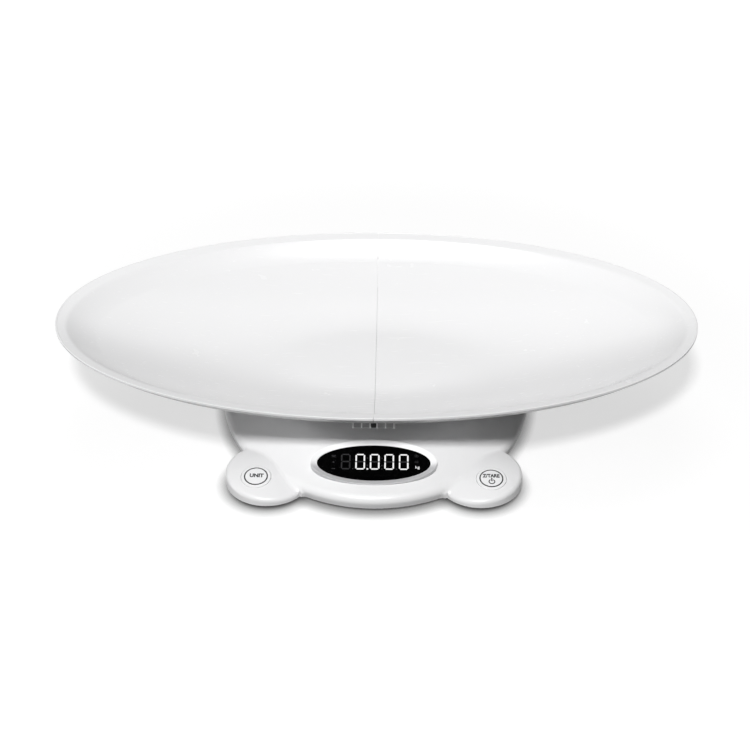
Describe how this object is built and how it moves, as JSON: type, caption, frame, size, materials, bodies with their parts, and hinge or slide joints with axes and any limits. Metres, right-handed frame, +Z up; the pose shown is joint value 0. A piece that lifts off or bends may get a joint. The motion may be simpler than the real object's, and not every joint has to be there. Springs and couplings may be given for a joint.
{
  "type": "digital baby weighing scale",
  "caption": "Low oval baby scale: a two-piece shallow tray rests on a footed base with an oval display and round push buttons on two front lobes.",
  "frame": {"origin": "on the floor under the middle of the tray", "axes": "+X along the tray, +Y away from the display, +Z up"},
  "size_m": [0.58, 0.3436, 0.088],
  "materials": {
    "tray_plastic": "smooth gloss ABS",
    "housing_plastic": "smooth satin ABS",
    "bezel_plastic": "pale grey ABS",
    "button_plastic": "smooth ABS",
    "window_plastic": "black tinted acrylic",
    "lcd_glass": "black segment display",
    "inner_plastic": "natural ABS",
    "black_nylon": "black nylon",
    "foot_plastic": "matt ABS",
    "pad_rubber": "soft rubber",
    "circuit_board": "glass fibre board",
    "chip_plastic": "black epoxy",
    "cell_steel": "pressed spring steel",
    "contact_steel": "nickel plated",
    "screw_steel": "zinc plated",
    "battery_case": "plain steel can"
  },
  "bodies": {
    "base": {"top_housing": "housing_plastic", "bottom_housing": "housing_plastic", "display_bezel": "bezel_plastic", "display_window": "window_plastic", "lcd_panel": "lcd_glass", "backlight": "inner_plastic", "main_board": "circuit_board", "board_chips": "chip_plastic", "unit_switch": "chip_plastic", "tare_switch": "chip_plastic", "unit_key_board": "circuit_board", "tare_key_board": "circuit_board", "load_cell_front_left": "cell_steel", "load_cell_front_right": "cell_steel", "load_cell_back_left": "cell_steel", "load_cell_back_right": "cell_steel", "load_cell_seat_front_left": "inner_plastic", "load_cell_seat_front_right": "inner_plastic", "load_cell_seat_back_left": "inner_plastic", "load_cell_seat_back_right": "inner_plastic", "foot_front_left": "foot_plastic", "foot_front_right": "foot_plastic", "foot_back_left": "foot_plastic", "foot_back_right": "foot_plastic", "foot_pad_front_left": "pad_rubber", "foot_pad_front_right": "pad_rubber", "foot_pad_back_left": "pad_rubber", "foot_pad_back_right": "pad_rubber", "battery_1": "battery_case", "battery_2": "battery_case", "battery_3": "battery_case", "battery_4": "battery_case", "contact_springs": "contact_steel", "contact_plates": "contact_steel", "housing_screws": "screw_steel", "board_screws": "screw_steel"},
    "tray_left_body": {"tray_left": "tray_plastic"},
    "tray_right_body": {"tray_right": "tray_plastic", "seam_clip_front": "black_nylon", "seam_clip_back": "black_nylon"},
    "unit_key": {"unit_button": "button_plastic", "unit_plunger": "chip_plastic"},
    "tare_key": {"tare_button": "button_plastic", "tare_plunger": "chip_plastic"},
    "battery_cover": {"battery_door": "housing_plastic"}
  },
  "joints": [
    {"name": "tray_lift", "type": "slide", "parent": "base", "child": "tray_left_body", "axis": [0, 0, 1], "range_m": [0, 0.08]},
    {"name": "tray_right_pull", "type": "slide", "parent": "tray_left_body", "child": "tray_right_body", "axis": [1, 0, 0], "range_m": [0, 0.03]},
    {"name": "unit_press", "type": "slide", "parent": "base", "child": "unit_key", "axis": [0, 0.1417, -0.9899], "range_m": [0, 0.0006], "stiffness_N_per_m": 2500, "springref_m": -0.0002},
    {"name": "tare_press", "type": "slide", "parent": "base", "child": "tare_key", "axis": [0, 0.1417, -0.9899], "range_m": [0, 0.0006], "stiffness_N_per_m": 2500, "springref_m": -0.0002},
    {"name": "battery_cover_hinge", "type": "hinge", "parent": "base", "child": "battery_cover", "pos_m": [0, 0.0198, 0.0062], "axis": [-1, 0, 0], "range_deg": [0, 85]}
  ]
}
